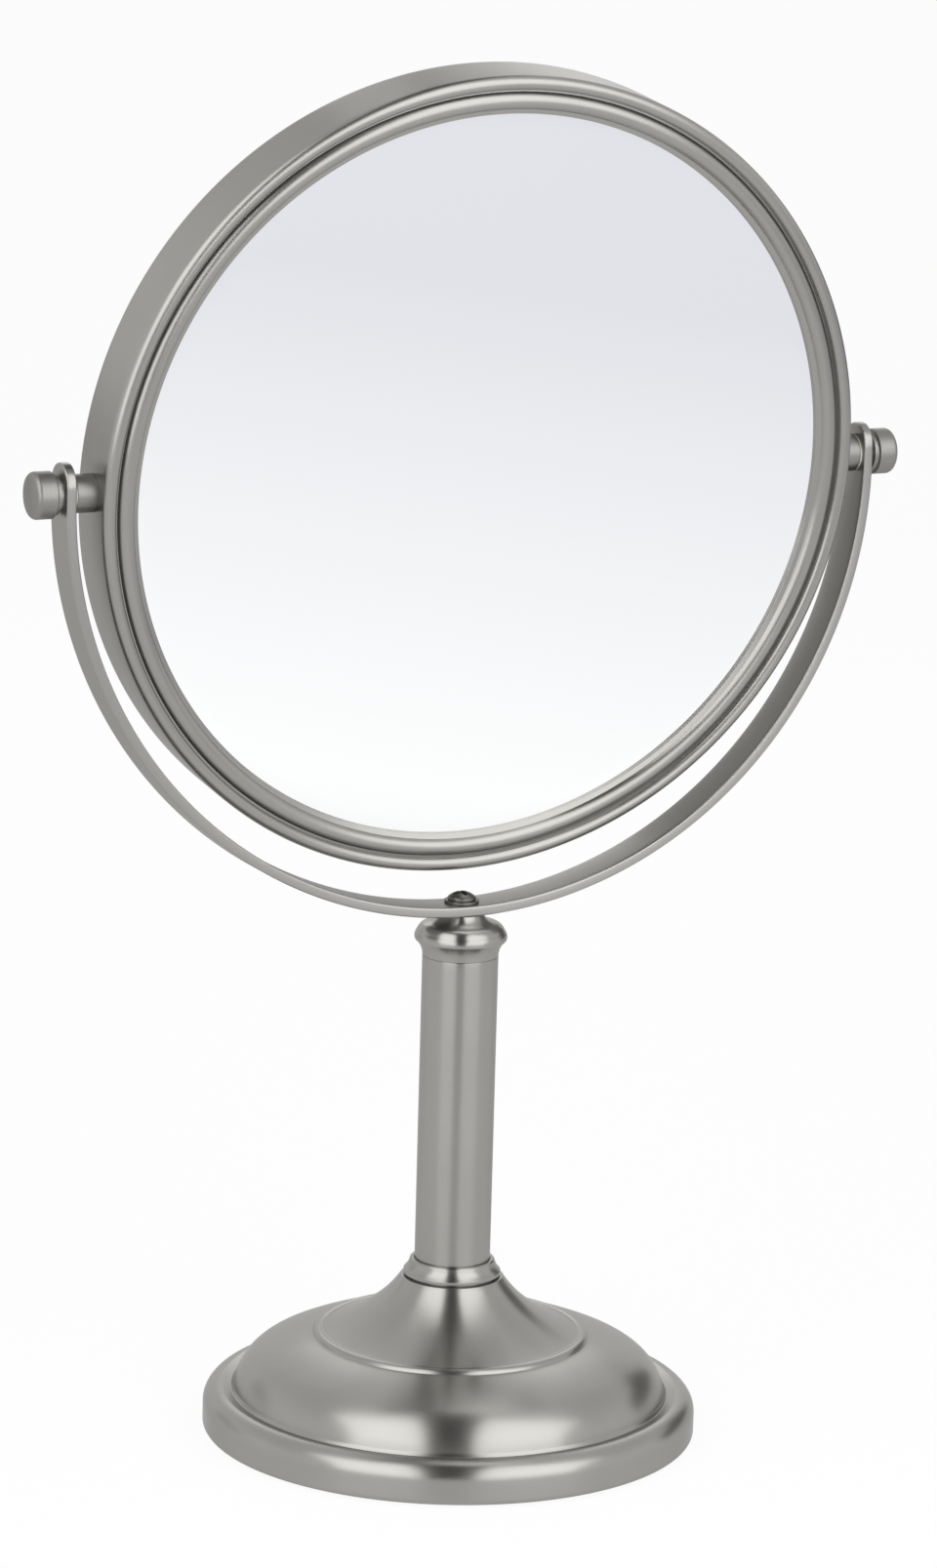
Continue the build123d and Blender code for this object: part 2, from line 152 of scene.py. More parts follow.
def skin(name, points, finish, loop):
    """A closed mesh over a grid of points. Columns go once round, rows follow the outline, and the last
    row joins the first when the outline is a loop. A row that lies in one point is a pole. The UV map
    gives the shader the way round the piece and the way along its outline."""
    rows, columns = points.shape[:2]
    index = np.arange(rows * columns).reshape(rows, columns)
    poles = np.ptp(points, axis=1).max(axis=1) < 1e-9
    index[poles] = index[poles, :1]
    below = index if loop else index[:-1]
    above = np.roll(index, -1, axis=0) if loop else index[1:]
    quads = np.stack([below, np.roll(below, -1, axis=1), np.roll(above, -1, axis=1), above], axis=-1)
    quads = quads.reshape(-1, 4)
    row, column = np.indices(below.shape).reshape(2, -1, 1)
    places = np.stack([(column + (0, 1, 1, 0)) / columns, (row + (0, 0, 1, 1)) / rows], axis=-1)
    flat = points.reshape(-1, 3)
    a, b, c, d = (flat[quads[:, k]] for k in range(4))
    if np.einsum("ij,ij->", a, np.cross(b - a, c - a)) + np.einsum("ij,ij->", a, np.cross(c - a, d - a)) < 0:
        quads, places = quads[:, ::-1], places[:, ::-1]
    kept = np.ones(quads.shape, bool)
    for k in range(4):
        kept[:, k] = quads[:, k] != quads[:, (k + 1) % 4]
    used, corners = np.unique(quads[kept], return_inverse=True)
    sizes = kept.sum(axis=1)
    sizes = sizes[sizes > 0]
    mesh = bpy.data.meshes.new(name)
    mesh.vertices.add(len(used))
    mesh.vertices.foreach_set("co", flat[used].astype(np.float32).ravel())
    mesh.loops.add(len(corners))
    mesh.loops.foreach_set("vertex_index", corners.astype(np.int32))
    mesh.polygons.add(len(sizes))
    mesh.polygons.foreach_set("loop_start", (np.cumsum(sizes) - sizes).astype(np.int32))
    mesh.polygons.foreach_set("use_smooth", np.ones(len(sizes), bool))
    mesh.update(calc_edges=True)
    mesh.validate()
    lay = mesh.attributes.new("finish", "FLOAT_VECTOR", "POINT")
    lay.data.foreach_set("vector", finish.reshape(-1, 3)[used].astype(np.float32).ravel())
    brushing = mesh.uv_layers.new(name="brushing")
    brushing.uv.foreach_set("vector", places[kept].astype(np.float32).ravel())
    piece = bpy.data.objects.new(name, mesh)
    bpy.context.scene.collection.objects.link(piece)
    return piece


def turned(name, outline, step, columns, axes=np.eye(3), origin=(0, 0, 0), loop=True):
    """A piece turned on a lathe: the outline's radius and height, carried round the third of the axes.
    The finish runs round the piece: cosine and sine of the angle, and the way along the outline."""
    line = thinned(outline, step, loop)
    angle = np.linspace(0, 2 * math.pi, columns, endpoint=False)
    radius, height = line[:, :1], line[:, 1:] + 0 * angle
    local = np.stack([radius * np.cos(angle), radius * np.sin(angle), height], axis=-1)
    way = np.append(0, np.cumsum(np.hypot(*np.diff(line, axis=0).T)))[:, None] + 0 * angle
    reach = line[:, 0].max()
    finish = np.stack([reach * np.cos(angle) + 0 * way, reach * np.sin(angle) + 0 * way, way], axis=-1)
    return skin(name, local @ np.array(axes) + np.array(origin), finish, loop)


def wire(tree, source, target):
    """Joins two sockets, each named by its node and its name or number."""
    tree.links.new(source[0].outputs[source[1]], target[0].inputs[target[1]])


mix_first, mix_second, mix_result = 6, 7, 2


def make_grain_group():
    """The marks of working on a surface. A coarse noise shifts the colour between two shades, and a fine
    noise, drawn out by the stretch, changes the roughness and raises the surface a little."""
    group = bpy.data.node_groups.new("worked_grain", "ShaderNodeTree")
    for name, kind in (
        ("Vector", "NodeSocketVector"), ("Stretch", "NodeSocketVector"), ("Patch Scale", "NodeSocketFloat"),
        ("Shade", "NodeSocketColor"), ("Light", "NodeSocketColor"), ("Smooth", "NodeSocketFloat"),
        ("Rough", "NodeSocketFloat"), ("Relief", "NodeSocketFloat"),
    ):
        group.interface.new_socket(name, in_out="INPUT", socket_type=kind)
    for name, kind in (
        ("Color", "NodeSocketColor"), ("Roughness", "NodeSocketFloat"), ("Normal", "NodeSocketVector"),
    ):
        group.interface.new_socket(name, in_out="OUTPUT", socket_type=kind)
    given = group.nodes.new("NodeGroupInput")
    made = group.nodes.new("NodeGroupOutput")
    patches = group.nodes.new("ShaderNodeTexNoise")
    patches.inputs["Detail"].default_value = 3
    wire(group, (given, "Vector"), (patches, "Vector"))
    wire(group, (given, "Patch Scale"), (patches, "Scale"))
    drawn = group.nodes.new("ShaderNodeVectorMath")
    drawn.operation = "MULTIPLY"
    wire(group, (given, "Vector"), (drawn, 0))
    wire(group, (given, "Stretch"), (drawn, 1))
    lines = group.nodes.new("ShaderNodeTexNoise")
    lines.inputs["Scale"].default_value = 1
    lines.inputs["Detail"].default_value = 1
    wire(group, (drawn, "Vector"), (lines, "Vector"))
    colour = group.nodes.new("ShaderNodeMix")
    colour.data_type = "RGBA"
    wire(group, (patches, "Fac"), (colour, 0))
    wire(group, (given, "Shade"), (colour, mix_first))
    wire(group, (given, "Light"), (colour, mix_second))
    wire(group, (colour, mix_result), (made, "Color"))
    both = group.nodes.new("ShaderNodeMath")
    both.operation = "MULTIPLY_ADD"
    both.inputs[1].default_value = 0.5
    wire(group, (lines, "Fac"), (both, 0))
    half = group.nodes.new("ShaderNodeMath")
    half.operation = "MULTIPLY"
    half.inputs[1].default_value = 0.5
    wire(group, (patches, "Fac"), (half, 0))
    wire(group, (half, 0), (both, 2))
    rough = group.nodes.new("ShaderNodeMapRange")
    wire(group, (both, 0), (rough, "Value"))
    rough.inputs["From Min"].default_value = 0.3
    rough.inputs["From Max"].default_value = 0.7
    wire(group, (given, "Smooth"), (rough, "To Min"))
    wire(group, (given, "Rough"), (rough, "To Max"))
    wire(group, (rough, "Result"), (made, "Roughness"))
    relief = group.nodes.new("ShaderNodeBump")
    relief.inputs["Strength"].default_value = 0.5
    wire(group, (lines, "Fac"), (relief, "Height"))
    wire(group, (given, "Relief"), (relief, "Distance"))
    wire(group, (relief, "Normal"), (made, "Normal"))
    return group


grain_group = make_grain_group()


def worked(name, values, plain, follows_surface):
    """A material whose colour, roughness and relief come from the grain group, with its other values plain.
    The grain follows the piece's own finish attribute, or else lies still in the object's space."""
    made = bpy.data.materials.new(name)
    made.use_nodes = True
    tree = made.node_tree
    shader = tree.nodes["Principled BSDF"]
    for socket, value in plain.items():
        shader.inputs[socket].default_value = value
    grain = tree.nodes.new("ShaderNodeGroup")
    grain.node_tree = grain_group
    for socket, value in values.items():
        grain.inputs[socket].default_value = value
    if follows_surface:
        place = tree.nodes.new("ShaderNodeAttribute")
        place.attribute_name = "finish"
        wire(tree, (place, "Vector"), (grain, "Vector"))
        strokes = tree.nodes.new("ShaderNodeTangent")
        strokes.direction_type = "UV_MAP"
        strokes.uv_map = "brushing"
        wire(tree, (strokes, "Tangent"), (shader, "Tangent"))
    else:
        place = tree.nodes.new("ShaderNodeTexCoord")
        wire(tree, (place, "Object"), (grain, "Vector"))
    wire(tree, (grain, "Color"), (shader, "Base Color"))
    wire(tree, (grain, "Roughness"), (shader, "Roughness"))
    wire(tree, (grain, "Normal"), (shader, "Normal"))
    return made


nickel_marks = {
    "Stretch": (30, 30, 1500), "Patch Scale": 45, "Shade": (0.325, 0.318, 0.3, 1),
    "Light": (0.36, 0.353, 0.335, 1), "Smooth": 0.28, "Rough": 0.31, "Relief": 0.0003 * mm,
}
nickel_metal = {"Metallic": 1.0, "Specular Tint": (0.7, 0.7, 0.7, 1)}
nickel = worked(
    "satin_nickel_turned", nickel_marks,
    {**nickel_metal, "Anisotropic": 0.8, "Anisotropic Rotation": 0.25}, True,
)

shell_line = np.vstack([
    [(base_radius - hem_width, hem_level)],
    arc((base_radius - hem_radius, hem_level + hem_radius), hem_radius, -90, 0),
    arc((base_radius - shoulder_radius, rim_height - shoulder_radius), shoulder_radius, 0, 90),
    [valley],
    bow(dome_foot, dome_knee, dome_crown),
    bow(dome_knee, dome_top, dome_shelf),
    through(dome_top, bead_crest, flare_foot),
    bow(flare_foot, flare_knee, -flare_hollows[0]),
    bow(flare_knee, (land_radius, base_height), -flare_hollows[1]),
    [(rod_hole, base_height)],
])
shell_line = eased(shell_line, plated_edge, False)
shell_outline = walled(shell_line, shell_sheet)
base_shell = turned("spun_base_shell", shell_outline, shell_row_step, shell_columns)
base_shell.data.materials.append(nickel)
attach(base_shell, "stand")
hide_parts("base_shell")

# Weight, closing plate and pad: a cast iron weight under the dome, a black steel plate pressed into
# the hem, and a disc of felt glued to the plate so that the base doesn't mark the table.

cast_iron = worked(
    "cast_iron",
    {
        "Stretch": (900, 900, 900), "Patch Scale": 120, "Shade": (0.035, 0.035, 0.037, 1),
        "Light": (0.075, 0.073, 0.07, 1), "Smooth": 0.55, "Rough": 0.85, "Relief": 0.0003,
    },
    {"Metallic": 0.6},
    False,
)
black_lacquer = worked(
    "black_lacquer",
    {
        "Stretch": (700, 700, 700), "Patch Scale": 60, "Shade": (0.02, 0.02, 0.021, 1),
        "Light": (0.032, 0.032, 0.034, 1), "Smooth": 0.35, "Rough": 0.5, "Relief": 0.00004,
    },
    {},
    False,
)
felt = worked(
    "black_felt",
    {
        "Stretch": (2600, 2600, 2600), "Patch Scale": 300, "Shade": (0.012, 0.012, 0.014, 1),
        "Light": (0.035, 0.035, 0.038, 1), "Smooth": 0.9, "Rough": 1.0, "Relief": 0.0006,
    },
    {"Sheen Weight": 0.4, "Sheen Roughness": 0.5},
    False,
)


def finish_node(node, finish):
    """Gives a node of the frame its finish, in place of the one that it comes with."""
    slots = frame["nodes"][node].data.materials
    slots.clear()
    slots.append(finish)


for node, finish in (("base_weight", cast_iron), ("base_plate", black_lacquer), ("base_pad", felt)):
    finish_node(node, finish)

# Foot collar: a turned ring that centres the column on the base. Its lower edge stands a little clear
# of the shell, which leaves a fine dark line all round.

collar_low, collar_high = (corner.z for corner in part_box("foot_collar"))
collar_foot_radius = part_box("foot_collar")[1].x
collar_top_radius = 11.9 * mm
collar_bore = 10.7 * mm
collar_ledge = 1.4 * mm
collar_edge = 0.9 * mm
shadow_gap = 0.6 * mm
shadow_inset = 0.8 * mm
fine_step = 1 * mm
column_columns = 160
collar_line = np.vstack([
    [
        (rod_hole, collar_low + collar_ledge),
        (rod_hole, collar_low),
        (collar_foot_radius - shadow_inset, collar_low),
        (collar_foot_radius - shadow_inset, collar_low + shadow_gap),
        (collar_foot_radius, collar_low + shadow_gap),
    ],
    bow(
        (collar_foot_radius, collar_low + shadow_gap + collar_edge),
        (collar_top_radius, collar_high - collar_edge / 2),
        -collar_edge / 3,
    ),
    [
        (collar_top_radius - collar_edge / 2, collar_high),
        (collar_bore, collar_high),
        (collar_bore, collar_low + collar_ledge),
    ],
])
collar_outline = eased(collar_line, plated_edge / 2, True)
foot_collar = turned("turned_foot_collar", collar_outline, fine_step, column_columns)
foot_collar.data.materials.append(nickel)
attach(foot_collar, "stand")
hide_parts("foot_collar")

# Column tube: a length of plain round steel tube, cut square and plated. It stands in the foot collar
# and carries the cap.

tube_low, tube_high = (corner.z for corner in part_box("column_tube"))
tube_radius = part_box("column_tube")[1].x
tube_wall = 1.0 * mm
tube_row_step = 3 * mm
tube_line = np.array([
    (tube_radius - tube_wall, tube_low), (tube_radius, tube_low),
    (tube_radius, tube_high), (tube_radius - tube_wall, tube_high),
])
tube_outline = eased(tube_line, plated_edge / 2, True)
column_tube = turned("drawn_column_tube", tube_outline, tube_row_step, column_columns)
column_tube.data.materials.append(nickel)
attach(column_tube, "stand")
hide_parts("column_tube")

# Column cap: turned from bar with a bead and a waisted neck, its spigot pushed into the tube, and its
# top hollowed to seat the yoke.

yoke_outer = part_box("yoke")[1].x
yoke_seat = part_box("yoke")[0].z
yoke_centre = yoke_seat + yoke_outer
cap_bead_radius = 12.8 * mm
cap_bead_level = 5.4 * mm
cap_bead_round = 1.7 * mm
cap_shoulder = (9.4 * mm, 9.2 * mm)
neck_radius = 6.0 * mm
spigot_radius = 9.5 * mm
spigot_length = 14.0 * mm
saddle_allowance = 0.15 * mm
bead_foot = (cap_bead_radius, tube_high + cap_bead_level - cap_bead_round / 2)
bead_head = (cap_bead_radius - cap_bead_round / 3, tube_high + cap_bead_level + cap_bead_round)
shoulder = (cap_shoulder[0], tube_high + cap_shoulder[1])
cap_line = np.vstack([
    bow((tube_radius, tube_high), bead_foot, -cap_bead_round / 3),
    bow(bead_foot, bead_head, cap_bead_round / 5),
    bow(bead_head, shoulder, cap_bead_round / 3),
    bow(shoulder, (neck_radius, yoke_seat), -cap_bead_round / 3),
    [(neck_radius, yoke_seat + saddle_allowance), (0, yoke_seat + saddle_allowance)],
])
spigot_line = np.array([
    (0, tube_high - spigot_length), (spigot_radius, tube_high - spigot_length),
    (spigot_radius, tube_high), (tube_radius, tube_high),
])
cap_line = eased(np.vstack([spigot_line, cap_line[1:]]), plated_edge, False)
cap_line[[0, -1], 0] = 0
column_cap = turned("turned_column_cap", cap_line, fine_step, column_columns, loop=False)
spots = np.empty(len(column_cap.data.vertices) * 3)
column_cap.data.vertices.foreach_get("co", spots)
spots = spots.reshape(-1, 3)
saddle = yoke_centre - np.sqrt(yoke_outer**2 - spots[:, 0] ** 2)
spots[:, 2] = np.minimum(spots[:, 2], saddle)
column_cap.data.vertices.foreach_set("co", spots.ravel())
column_cap.data.update()
column_cap.data.materials.append(nickel)
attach(column_cap, "stand")
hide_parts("column_cap")

# Tie rod, washers and nut: the rod screws into the cap and runs down the tube, and the nut under the
# weight pulls the whole stand together.

zinc_plate = worked(
    "zinc_plate",
    {
        "Stretch": (300, 300, 1800), "Patch Scale": 260, "Shade": (0.46, 0.47, 0.49, 1),
        "Light": (0.6, 0.61, 0.62, 1), "Smooth": 0.25, "Rough": 0.4, "Relief": 0.00003,
    },
    {"Metallic": 1.0},
    False,
)
for node in ("tie_rod", "tie_washer", "tie_lock_washer", "tie_nut"):
    finish_node(node, zinc_plate)

# Yoke: a flat steel strip with softened edges and round ends, bent to a U that holds the head between
# its arms.

yoke_thickness = 2.8 * mm
yoke_half_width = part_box("yoke")[1].y
yoke_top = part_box("yoke")[1].z
yoke_edge = 0.5 * mm
strip_columns = 420
end_points = 20
edge_points = 6
face_points = 8
yoke_middle = yoke_outer - yoke_thickness / 2
arm_rise = yoke_top - yoke_centre
strip_half = yoke_middle * math.pi / 2 + arm_rise


def strip_outline(half_length, half_width, count):
    """Half the edge of a strip with round ends, from tip to tip: its place along the strip and its half
    width, and the direction that points into the strip. The ends are quarter circles, evenly divided."""
    end = np.linspace(0, math.pi / 2, end_points)
    flat = np.linspace(-half_length + half_width, half_length - half_width, count)[1:-1]
    along = np.concatenate([
        -half_length + half_width * (1 - np.cos(end)),
        flat,
        half_length - half_width * (1 - np.cos(end[::-1])),
    ])
    width = np.concatenate([half_width * np.sin(end), 0 * flat + half_width, half_width * np.sin(end[::-1])])
    inward = np.stack([
        np.concatenate([np.cos(end), 0 * flat, -np.cos(end[::-1])]),
        -np.concatenate([np.sin(end), 0 * flat + 1, np.sin(end[::-1])]),
    ], axis=1)
    return along, width, inward


def strip_section(along, width, inward, thickness, edge):
    """Closed cross sections of the strip: up one rounded edge, across the outer face, down the other
    edge and back across the inner face. Each section is a row of places along, across and through."""
    quarter = np.linspace(0, math.pi / 2, edge_points)
    inset = np.concatenate([edge * (1 - np.cos(quarter))[::-1], edge * (1 - np.cos(quarter))])
    through_wall = np.concatenate([
        -thickness / 2 + edge * (1 - np.sin(quarter))[::-1], thickness / 2 - edge * (1 - np.sin(quarter)),
    ])
    side_along = along[:, None] + inward[:, :1] * inset
    side_across = width[:, None] + inward[:, 1:] * inset
    across_face = np.linspace(1, -1, face_points)[1:-1]
    top_along = side_along[:, -1:] + 0 * across_face
    top_across = side_across[:, -1:] * across_face
    deep = 0 * side_along + through_wall
    top = 0 * top_along + thickness / 2
    return np.stack([
        np.hstack([side_along, top_along, side_along[:, ::-1], top_along]),
        np.hstack([side_across, top_across, -side_across[:, ::-1], -top_across]),
        np.hstack([deep, top, deep[:, ::-1], -top]),
    ], axis=-1)


def bent_to_u(strip):
    """Carries the strip's places onto a U: half a circle at the bottom, then straight up both arms."""
    along, across, out = strip[..., 0], strip[..., 1], strip[..., 2]
    bend = np.clip(along / yoke_middle, -math.pi / 2, math.pi / 2)
    rise = np.maximum(np.abs(along) - yoke_middle * math.pi / 2, 0)
    return np.stack([
        (yoke_middle + out) * np.sin(bend), across, yoke_centre - (yoke_middle + out) * np.cos(bend) + rise,
    ], axis=-1)


def bake_modifiers(piece):
    """Puts the result of a piece's modifiers into its mesh."""
    ready = piece.evaluated_get(bpy.context.evaluated_depsgraph_get())
    mesh = bpy.data.meshes.new_from_object(ready)
    piece.modifiers.clear()
    piece.data = mesh


def welded(piece):
    """Joins points that lie on each other, which closes a piece whose surface folds onto itself."""
    joining = piece.modifiers.new("weld", "WELD")
    joining.merge_threshold = 0.001 * mm
    bake_modifiers(piece)


strip_edge = strip_outline(strip_half, yoke_half_width, strip_columns)
strip = strip_section(*strip_edge, yoke_thickness, yoke_edge)
yoke = skin("bent_yoke", bent_to_u(strip), strip[..., [1, 2, 0]], False)
welded(yoke)


sharp_turn = math.radians(35)


def bored(piece, cutters):
    """Cuts the cutters out of a piece, deletes them, and keeps the cut edges crisp."""
    for cutter in cutters:
        cutting = piece.modifiers.new("cut", "BOOLEAN")
        cutting.operation = "DIFFERENCE"
        cutting.solver = "EXACT"
        cutting.object = cutter
    bake_modifiers(piece)
    for cutter in cutters:
        bpy.data.objects.remove(cutter)
    piece.data.set_sharp_from_angle(angle=sharp_turn)


def rod(radius, low, high):
    """The outline of a plain rod, from one end's middle to the other's."""
    return np.array([(0, low), (radius, low), (radius, high), (0, high)])


pivot_height = next(joint["pos_m"][2] for joint in frame["joints"] if joint["name"] == "head_tilt")
head_origin = (0, 0, pivot_height)
pivot_bore = 2.06 * mm
pivot_drill = rod(pivot_bore, -200 * mm, 200 * mm)
across = np.array([(0, 1, 0), (0, 0, 1), (1, 0, 0)])
screw_bore = 2.7 * mm
screw_drill = rod(screw_bore, yoke_seat - 5 * mm, yoke_seat + 8 * mm)
drill_row_step = 1000 * mm
drill_columns = 48
bored(yoke, [
    turned("pivot_drill", pivot_drill, drill_row_step, drill_columns, across, head_origin, False),
    turned("screw_drill", screw_drill, drill_row_step, drill_columns, loop=False),
])
yoke.data.materials.append(worked(
    "satin_nickel_lengthwise", nickel_marks, {**nickel_metal, "Anisotropic": 0.8}, True,
))
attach(yoke, "stand")
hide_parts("yoke")

# Yoke screw and washer: a steel pan head screw with a cross recess and a flat washer, both in a darker
# copy of the nickel colour, which is painted shade. The screw goes down through the yoke and holds it in the
# cap.

screw_low, screw_high = (corner.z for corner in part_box("yoke_screw"))
screw_head_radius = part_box("yoke_screw")[1].x
washer_low, washer_high = (corner.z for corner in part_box("yoke_screw_washer"))
washer_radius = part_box("yoke_screw_washer")[1].x
shank_radius = 2.45 * mm
head_crown = 1.6 * mm
recess_length = 5.0 * mm
recess_width = 1.0 * mm
recess_depth = 1.1 * mm
recess_overshoot = 1 * mm
screw_columns = 96
square_corners = ((-1, -1), (1, -1), (1, 1), (-1, 1))


def bar(name, length, width, low, high):
    """A plain block on the Z axis, for a slot: its eight corners, and its six faces turned outwards."""
    corners = [(x * length / 2, y * width / 2, z) for z in (low, high) for x, y in square_corners]
    faces = [(3, 2, 1, 0), (4, 5, 6, 7), (0, 1, 5, 4), (1, 2, 6, 5), (2, 3, 7, 6), (3, 0, 4, 7)]
    mesh = bpy.data.meshes.new(name)
    mesh.from_pydata(corners, [], faces)
    block = bpy.data.objects.new(name, mesh)
    bpy.context.scene.collection.objects.link(block)
    return block


screw_line = np.vstack([
    rod(shank_radius, screw_low, washer_high)[:-1],
    [(screw_head_radius, washer_high)],
    bow((screw_head_radius, screw_high - head_crown), (0, screw_high), head_crown / 4),
])
screw_line = eased(screw_line, plated_edge / 2, False)
screw_line[[0, -1], 0] = 0
yoke_screw = turned("turned_yoke_screw", screw_line, fine_step, screw_columns, loop=False)
recess_span = (screw_high - recess_depth, screw_high + recess_overshoot)
bored(yoke_screw, [
    bar("recess_along", recess_length, recess_width, *recess_span),
    bar("recess_across", recess_width, recess_length, *recess_span),
])
washer_line = np.array([
    (shank_radius, washer_low), (washer_radius, washer_low),
    (washer_radius, washer_high), (shank_radius, washer_high),
])
washer_outline = eased(washer_line, plated_edge / 2, True)
yoke_washer = turned("pressed_yoke_washer", washer_outline, fine_step, screw_columns)
# A darker copy of the nickel colour: painted shade for the screw and washer where they sit down in the yoke.
shaded_screw_nickel = worked(
    "screw_nickel_painted_shade",
    {**nickel_marks, "Shade": (0.14, 0.138, 0.13, 1), "Light": (0.2, 0.195, 0.185, 1), "Rough": 0.4},
    nickel_metal, True,
)
for piece, node in ((yoke_screw, "yoke_screw"), (yoke_washer, "yoke_screw_washer")):
    piece.data.materials.append(shaded_screw_nickel)
    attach(piece, "stand")
    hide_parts(node)

# Head hoop: a steel band rolled to a ring, with both edges curled inwards over the bezels. Everything
# in the head is drawn with the front towards +Z, and then hung in the yoke with its lean.

head_lean = math.radians(6.6)
head_axes = np.array([
    (1, 0, 0),
    (0, -math.sin(head_lean), math.cos(head_lean)),
    (0, -math.cos(head_lean), -math.sin(head_lean)),
])
rear_axes = head_axes * [[1], [-1], [-1]]
head_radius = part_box("head_hoop")[1].x
head_half = 10.2 * mm
head_columns = 480
hoop_row_step = 2 * mm
hoop_sheet = 1.2 * mm
curl_radius = 2.0 * mm
curl_sweep = 150
curl_centre = (head_radius - curl_radius, head_half - curl_radius)
hoop_line = np.vstack([
    arc((curl_centre[0], -curl_centre[1]), curl_radius, -curl_sweep, 0),
    arc(curl_centre, curl_radius, 0, curl_sweep),
])
hoop_outline = eased(walled(hoop_line, hoop_sheet), plated_edge / 2, True)
head_hoop = turned("rolled_head_hoop", hoop_outline, hoop_row_step, head_columns, head_axes, head_origin)
head_hoop.data.materials.append(nickel)
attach(head_hoop, "mirror_head")
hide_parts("head_hoop")

# Bezels: a ring of pressed and plated steel on each side, with a narrow lip over the glass, a round
# bead, a groove, and a flange that the hoop's curl holds down.

glass_setback = 3.3 * mm
sight_radius = 101.5 * mm
lip_width = 1.8 * mm
bezel_sheet = 0.9 * mm
crest = (105.4 * mm, head_half - 0.3 * mm)
groove = (107.6 * mm, head_half - 2.1 * mm)
groove_width = 0.9 * mm
flange_level = head_half - 1.75 * mm
flange_slack = 0.05 * mm
flange_radius = head_radius - hoop_sheet - flange_slack
glass_face = head_half - glass_setback
lip_end = sight_radius + lip_width
groove_out = groove[0] + groove_width
step = flange_level - groove[1]
bezel_line = np.vstack([
    [(sight_radius, glass_face), (sight_radius, glass_face + bezel_sheet)],
    through((lip_end - bezel_sheet / 2, glass_face + 1.5 * bezel_sheet), crest, groove),
    [
        (groove_out, groove[1]), (groove_out + step / 2, flange_level), (flange_radius, flange_level),
        (flange_radius, flange_level - bezel_sheet), (groove_out + bezel_sheet, flange_level - bezel_sheet),
        (groove_out + step / 2, groove[1] - bezel_sheet),
    ],
    through(
        (groove[0] - bezel_sheet, groove[1] - bezel_sheet), (crest[0], crest[1] - bezel_sheet),
        (lip_end, glass_face),
    ),
])
bezel_outline = eased(bezel_line, plated_edge / 2, True)
for side, axes in (("front", head_axes), ("rear", rear_axes)):
    bezel = turned(f"pressed_{side}_bezel", bezel_outline, fine_step, head_columns, axes, head_origin)
    bezel.data.materials.append(nickel)
    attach(bezel, "mirror_head")
    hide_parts(f"{side}_bezel")

# Mirrors: a flat silvered glass in front, and behind it a dished one that magnifies. Each is ground
# round the edge and lies under its bezel's lip.

glass_radius = 104.6 * mm
flat_thickness = 3.0 * mm
dished_thickness = 2.2 * mm
dish_curve = 800.0 * mm
ground_edge = 0.4 * mm
ground_edge_turn = math.radians(20)
glass_row_step = 10 * mm
dish_points = 40
silvered = worked(
    "silvered_glass",
    {
        "Stretch": (40, 40, 40), "Patch Scale": 8, "Shade": (0.955, 0.96, 0.96, 1),
        "Light": (0.965, 0.97, 0.97, 1), "Smooth": 0.0, "Rough": 0.012, "Relief": 0.0,
    },
    {"Metallic": 1.0},
    False,
)
flat_line = np.array([
    (0, glass_face - flat_thickness), (glass_radius - ground_edge, glass_face - flat_thickness),
    (glass_radius, glass_face - flat_thickness + ground_edge), (glass_radius, glass_face - ground_edge),
    (glass_radius - ground_edge, glass_face), (0, glass_face),
])
flat_mirror = turned(
    "flat_mirror_glass", flat_line, glass_row_step, head_columns, head_axes, head_origin, False
)
reach = np.linspace(0, glass_radius - ground_edge, dish_points)
sag = dish_curve - np.sqrt(dish_curve**2 - reach**2)
sag -= np.interp(lip_end, reach, sag)
dish_face = np.stack([reach, glass_face + sag], axis=1)
dish_back = dish_face - (0, dished_thickness)
dish_line = np.vstack([
    dish_back,
    dish_back[-1:] + (ground_edge, ground_edge),
    dish_face[-1:] + (ground_edge, -ground_edge),
    dish_face[::-1],
])
dished_mirror = turned(
    "dished_mirror_glass", dish_line, glass_row_step, head_columns, rear_axes, head_origin, False
)
for glass, node in ((flat_mirror, "flat_mirror"), (dished_mirror, "magnifying_mirror")):
    glass.data.set_sharp_from_angle(angle=ground_edge_turn)
    glass.data.materials.append(silvered)
    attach(glass, "mirror_head")
    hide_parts(node)

# Card, spacer ring and foam: a disc of grey board behind the flat glass, a ring of white plastic and a
# ring of foam. They lie loose between the two glasses and stop them rattling in the hoop.

board = worked(
    "grey_board",
    {
        "Stretch": (1500, 1500, 1500), "Patch Scale": 200, "Shade": (0.17, 0.13, 0.085, 1),
        "Light": (0.25, 0.2, 0.14, 1), "Smooth": 0.8, "Rough": 0.95, "Relief": 0.0001,
    },
    {},
    False,
)
white_plastic = worked(
    "white_plastic",
    {
        "Stretch": (900, 900, 900), "Patch Scale": 90, "Shade": (0.6, 0.6, 0.58, 1),
        "Light": (0.66, 0.66, 0.64, 1), "Smooth": 0.4, "Rough": 0.55, "Relief": 0.00003,
    },
    {},
    False,
)
foam = worked(
    "grey_foam",
    {
        "Stretch": (2400, 2400, 2400), "Patch Scale": 400, "Shade": (0.04, 0.04, 0.042, 1),
        "Light": (0.08, 0.08, 0.083, 1), "Smooth": 0.85, "Rough": 1.0, "Relief": 0.0004,
    },
    {},
    False,
)
for node, finish in (("backing_card", board), ("glass_spacer_ring", white_plastic), ("foam_ring", foam)):
    finish_node(node, finish)

# Pivots: on each side a stud is bolted into the hoop, and a round spacer, a nylon washer, the yoke, a
# spring washer and a round knob sit on it. The knob screws down and sets how stiffly the head tilts.

